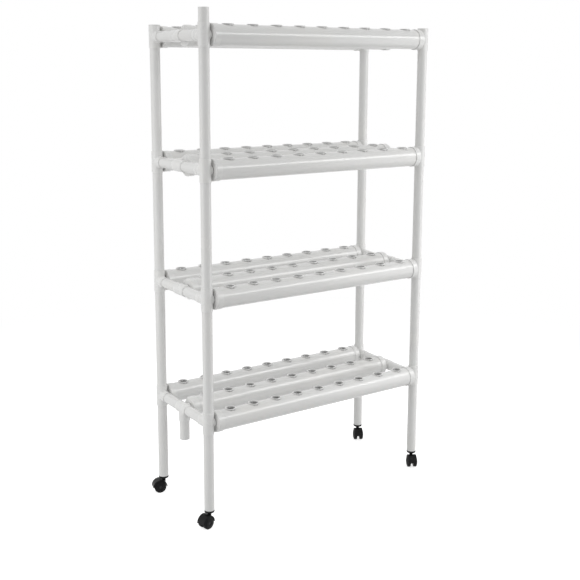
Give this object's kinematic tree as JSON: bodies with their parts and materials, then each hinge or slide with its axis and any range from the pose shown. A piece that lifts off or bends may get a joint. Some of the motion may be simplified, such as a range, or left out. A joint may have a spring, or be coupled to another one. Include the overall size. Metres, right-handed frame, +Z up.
{
  "type": "tiered hydroponic system",
  "caption": "Rolling rack of white plastic pipe with stacked tiers of growing channels, net cups in their tops, an inlet riser, a drain pipe and swivel casters.",
  "frame": {"origin": "on the floor, in the middle of the rack's outline seen from above", "axes": "+Z up, +X along the channels towards the end without the drain, +Y towards the back"},
  "size_m": [0.8995, 0.3845, 1.5883],
  "materials": {
    "pvc_pipe": "satin white rigid pipe",
    "pvc_fitting": "satin white moulded fitting",
    "pvc_channel": "satin white rigid pipe",
    "pvc_cap": "satin white moulded cap",
    "cup_plastic": "satin white thin moulding",
    "seal_rubber": "soft grey rubber",
    "caster_plastic": "satin black moulding",
    "wheel_plastic": "matte black moulding",
    "caster_steel": "bright zinc plate"
  },
  "bodies": {
    "frame": {"post_front_left": "pvc_pipe", "post_back_left": "pvc_pipe", "post_front_right": "pvc_pipe", "post_back_right": "pvc_pipe", "inlet_riser": "pvc_pipe", "left_cross_pipes": "pvc_pipe", "right_cross_pipes": "pvc_pipe", "drain_pipe": "pvc_pipe", "top_plugs": "pvc_fitting", "tier1_corner_fittings": "pvc_fitting", "tier1_middle_tees": "pvc_fitting", "tier1_end_caps": "pvc_cap", "tier1_channel_front": "pvc_channel", "tier1_channel_middle": "pvc_channel", "tier1_channel_back": "pvc_channel", "tier2_corner_fittings": "pvc_fitting", "tier2_middle_tees": "pvc_fitting", "tier2_end_caps": "pvc_cap", "tier2_channel_front": "pvc_channel", "tier2_channel_middle": "pvc_channel", "tier2_channel_back": "pvc_channel", "tier3_corner_fittings": "pvc_fitting", "tier3_middle_tees": "pvc_fitting", "tier3_end_caps": "pvc_cap", "tier3_channel_front": "pvc_channel", "tier3_channel_middle": "pvc_channel", "tier3_channel_back": "pvc_channel", "tier4_corner_fittings": "pvc_fitting", "tier4_middle_tees": "pvc_fitting", "tier4_end_caps": "pvc_cap", "tier4_channel_front": "pvc_channel", "tier4_channel_middle": "pvc_channel", "tier4_channel_back": "pvc_channel", "nozzle_seals": "seal_rubber", "caster_inserts": "caster_plastic"},
    "tier1_cups": {"tier1_net_cups": "cup_plastic"},
    "tier2_cups": {"tier2_net_cups": "cup_plastic"},
    "tier3_cups": {"tier3_net_cups": "cup_plastic"},
    "tier4_cups": {"tier4_net_cups": "cup_plastic"},
    "caster_front_left": {"caster_front_left_housing": "caster_plastic", "caster_front_left_stem": "caster_steel", "caster_front_left_axle": "caster_steel"},
    "caster_front_left_wheel_a": {"caster_front_left_wheel_a": "wheel_plastic"},
    "caster_front_left_wheel_b": {"caster_front_left_wheel_b": "wheel_plastic"},
    "caster_back_left": {"caster_back_left_housing": "caster_plastic", "caster_back_left_stem": "caster_steel", "caster_back_left_axle": "caster_steel"},
    "caster_back_left_wheel_a": {"caster_back_left_wheel_a": "wheel_plastic"},
    "caster_back_left_wheel_b": {"caster_back_left_wheel_b": "wheel_plastic"},
    "caster_front_right": {"caster_front_right_housing": "caster_plastic", "caster_front_right_stem": "caster_steel", "caster_front_right_axle": "caster_steel"},
    "caster_front_right_wheel_a": {"caster_front_right_wheel_a": "wheel_plastic"},
    "caster_front_right_wheel_b": {"caster_front_right_wheel_b": "wheel_plastic"},
    "caster_back_right": {"caster_back_right_housing": "caster_plastic", "caster_back_right_stem": "caster_steel", "caster_back_right_axle": "caster_steel"},
    "caster_back_right_wheel_a": {"caster_back_right_wheel_a": "wheel_plastic"},
    "caster_back_right_wheel_b": {"caster_back_right_wheel_b": "wheel_plastic"}
  },
  "joints": [
    {"name": "tier1_cups_lift", "type": "slide", "parent": "frame", "child": "tier1_cups", "axis": [0, 0, 1], "range_m": [0, 0.06]},
    {"name": "tier2_cups_lift", "type": "slide", "parent": "frame", "child": "tier2_cups", "axis": [0, 0, 1], "range_m": [0, 0.06]},
    {"name": "tier3_cups_lift", "type": "slide", "parent": "frame", "child": "tier3_cups", "axis": [0, 0, 1], "range_m": [0, 0.06]},
    {"name": "tier4_cups_lift", "type": "slide", "parent": "frame", "child": "tier4_cups", "axis": [0, 0, 1], "range_m": [0, 0.06]},
    {"name": "caster_front_left_swivel", "type": "hinge", "parent": "frame", "child": "caster_front_left", "pos_m": [-0.408, -0.14691, 0], "axis": [0, 0, 1], "continuous": true},
    {"name": "caster_front_left_wheel_a_spin", "type": "hinge", "parent": "caster_front_left", "child": "caster_front_left_wheel_a", "pos_m": [-0.42262, -0.15028, 0.02], "axis": [0.225, -0.9744, 0], "continuous": true},
    {"name": "caster_front_left_wheel_b_spin", "type": "hinge", "parent": "caster_front_left", "child": "caster_front_left_wheel_b", "pos_m": [-0.42262, -0.15028, 0.02], "axis": [0.225, -0.9744, 0], "continuous": true},
    {"name": "caster_back_left_swivel", "type": "hinge", "parent": "frame", "child": "caster_back_left", "pos_m": [-0.408, 0.16309, 0], "axis": [0, 0, 1], "continuous": true},
    {"name": "caster_back_left_wheel_a_spin", "type": "hinge", "parent": "caster_back_left", "child": "caster_back_left_wheel_a", "pos_m": [-0.42249, 0.16697, 0.02], "axis": [-0.2588, -0.9659, 0], "continuous": true},
    {"name": "caster_back_left_wheel_b_spin", "type": "hinge", "parent": "caster_back_left", "child": "caster_back_left_wheel_b", "pos_m": [-0.42249, 0.16697, 0.02], "axis": [-0.2588, -0.9659, 0], "continuous": true},
    {"name": "caster_front_right_swivel", "type": "hinge", "parent": "frame", "child": "caster_front_right", "pos_m": [0.432, -0.14691, 0], "axis": [0, 0, 1], "continuous": true},
    {"name": "caster_front_right_wheel_a_spin", "type": "hinge", "parent": "caster_front_right", "child": "caster_front_right_wheel_a", "pos_m": [0.42427, -0.15977, 0.02], "axis": [0.8572, -0.515, 0], "continuous": true},
    {"name": "caster_front_right_wheel_b_spin", "type": "hinge", "parent": "caster_front_right", "child": "caster_front_right_wheel_b", "pos_m": [0.42427, -0.15977, 0.02], "axis": [0.8572, -0.515, 0], "continuous": true},
    {"name": "caster_back_right_swivel", "type": "hinge", "parent": "frame", "child": "caster_back_right", "pos_m": [0.432, 0.16309, 0], "axis": [0, 0, 1], "continuous": true},
    {"name": "caster_back_right_wheel_a_spin", "type": "hinge", "parent": "caster_back_right", "child": "caster_back_right_wheel_a", "pos_m": [0.4245, 0.1501, 0.02], "axis": [0.866, -0.5, 0], "continuous": true},
    {"name": "caster_back_right_wheel_b_spin", "type": "hinge", "parent": "caster_back_right", "child": "caster_back_right_wheel_b", "pos_m": [0.4245, 0.1501, 0.02], "axis": [0.866, -0.5, 0], "continuous": true}
  ]
}
